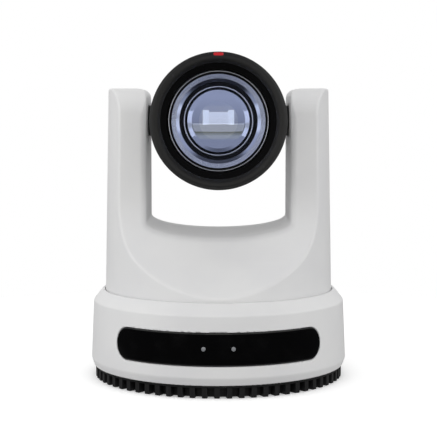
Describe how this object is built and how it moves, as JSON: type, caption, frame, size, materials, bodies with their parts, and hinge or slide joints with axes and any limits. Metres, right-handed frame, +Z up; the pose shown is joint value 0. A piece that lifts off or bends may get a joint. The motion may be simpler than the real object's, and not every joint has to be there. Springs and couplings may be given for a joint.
{
  "type": "ptz camera",
  "caption": "Pan-tilt-zoom conference camera: round base with rear sockets, a forked yoke that pans, and a tilting camera head.",
  "frame": {"origin": "on the pan axis, in the plane the camera stands on", "axes": "+Z up along the pan axis, -Y the way the lens looks at rest, +X to the right of someone facing the lens"},
  "size_m": [0.142, 0.142, 0.1775],
  "materials": {
    "white_abs": "fine moulded texture",
    "black_abs": "fine moulded texture",
    "smoked_acrylic": "gloss",
    "clear_acrylic": "gloss",
    "red_acrylic": "gloss",
    "coated_glass": "coated",
    "zinc_steel": "zinc plated",
    "cast_aluminium": "as cast",
    "nickel": "nickel plated",
    "brass": "turned",
    "circuit_board": "solder mask",
    "jack_plastic": "satin",
    "acetal": "satin",
    "belt_rubber": "matt"
  },
  "bodies": {
    "base": {"base_shell": "white_abs", "foot_ring": "black_abs", "base_plate": "zinc_steel", "tripod_insert": "brass", "front_window": "smoked_acrylic", "standby_light": "clear_acrylic", "power_light": "clear_acrylic", "indicator_board": "circuit_board", "connector_bay": "black_abs", "dc_jack": "jack_plastic", "network_jack": "nickel", "video_jack": "nickel", "usb_jack": "nickel", "coax_jack": "nickel", "serial_jack": "jack_plastic", "audio_in_jack": "jack_plastic", "audio_out_jack": "jack_plastic", "main_board": "circuit_board", "pan_frame": "zinc_steel", "pan_motor": "cast_aluminium", "pan_bearing_outer": "nickel", "pan_belt": "belt_rubber"},
    "selector": {"rotary_selector": "acetal"},
    "pan_pinion": {"pan_motor_pulley": "brass"},
    "yoke": {"yoke_front_shell": "white_abs", "yoke_rear_shell": "white_abs", "turntable": "zinc_steel", "pan_hub": "cast_aluminium", "pan_pulley": "acetal", "pan_bearing_inner": "nickel", "tilt_frame": "zinc_steel", "tilt_motor": "cast_aluminium", "tilt_belt": "belt_rubber", "tilt_bearing_left": "nickel", "tilt_bearing_right": "nickel", "driver_board": "circuit_board", "yoke_screw_left": "zinc_steel", "yoke_screw_right": "zinc_steel"},
    "tilt_pinion": {"tilt_motor_pulley": "brass"},
    "head": {"head_bezel": "black_abs", "head_shell": "white_abs", "head_rear_cover": "white_abs", "tally_light": "red_acrylic", "lens_trim_ring": "nickel", "front_glass": "coated_glass", "lens_barrel": "black_abs", "inner_glass": "coated_glass", "trunnion_left": "black_abs", "trunnion_right": "black_abs", "tilt_pulley": "acetal", "guide_rod_left": "zinc_steel", "guide_rod_right": "zinc_steel", "zoom_motor": "cast_aluminium", "focus_motor": "cast_aluminium", "sensor_board": "circuit_board", "heat_sink": "cast_aluminium"},
    "zoom_group": {"zoom_carrier": "black_abs"},
    "zoom_leadscrew": {"zoom_screw": "zinc_steel"},
    "focus_group": {"focus_carrier": "black_abs"},
    "focus_leadscrew": {"focus_screw": "zinc_steel"}
  },
  "joints": [
    {"name": "pan", "type": "hinge", "parent": "base", "child": "yoke", "pos_m": [0, 0, 0.045], "axis": [0, 0, 1], "range_deg": [-170, 170]},
    {"name": "pan_pinion_spin", "type": "hinge", "parent": "base", "child": "pan_pinion", "pos_m": [0, -0.038, 0.038], "axis": [0, 0, 1], "range_deg": [-820, 820]},
    {"name": "tilt", "type": "hinge", "parent": "yoke", "child": "head", "pos_m": [0, 0, 0.1415], "axis": [-1, 0, 0], "range_deg": [-30, 90]},
    {"name": "tilt_pinion_spin", "type": "hinge", "parent": "yoke", "child": "tilt_pinion", "pos_m": [0.052, 0, 0.0635], "axis": [-1, 0, 0], "range_deg": [-80, 236]},
    {"name": "selector_turn", "type": "hinge", "parent": "base", "child": "selector", "pos_m": [0.025, 0.047, 0.031], "axis": [0, 1, 0], "range_deg": [0, 324]},
    {"name": "zoom", "type": "slide", "parent": "head", "child": "zoom_group", "axis": [0, 1, 0], "range_m": [0, 0.02]},
    {"name": "zoom_screw_spin", "type": "hinge", "parent": "head", "child": "zoom_leadscrew", "pos_m": [0, -0.014, 0.16], "axis": [0, 1, 0], "range_deg": [-10, 1810]},
    {"name": "focus", "type": "slide", "parent": "head", "child": "focus_group", "axis": [0, 1, 0], "range_m": [-0.002, 0.008]},
    {"name": "focus_screw_spin", "type": "hinge", "parent": "head", "child": "focus_leadscrew", "pos_m": [0, 0.006, 0.123], "axis": [0, 1, 0], "range_deg": [-190, 730]}
  ],
  "couplings": [
    {"joint": "pan_pinion_spin", "follows": "pan", "ratio": 4.8},
    {"joint": "tilt_pinion_spin", "follows": "tilt", "ratio": 2.6},
    {"joint": "zoom_screw_spin", "follows": "zoom", "rad_per_m": 1570.8},
    {"joint": "focus_screw_spin", "follows": "focus", "rad_per_m": 1570.8}
  ]
}
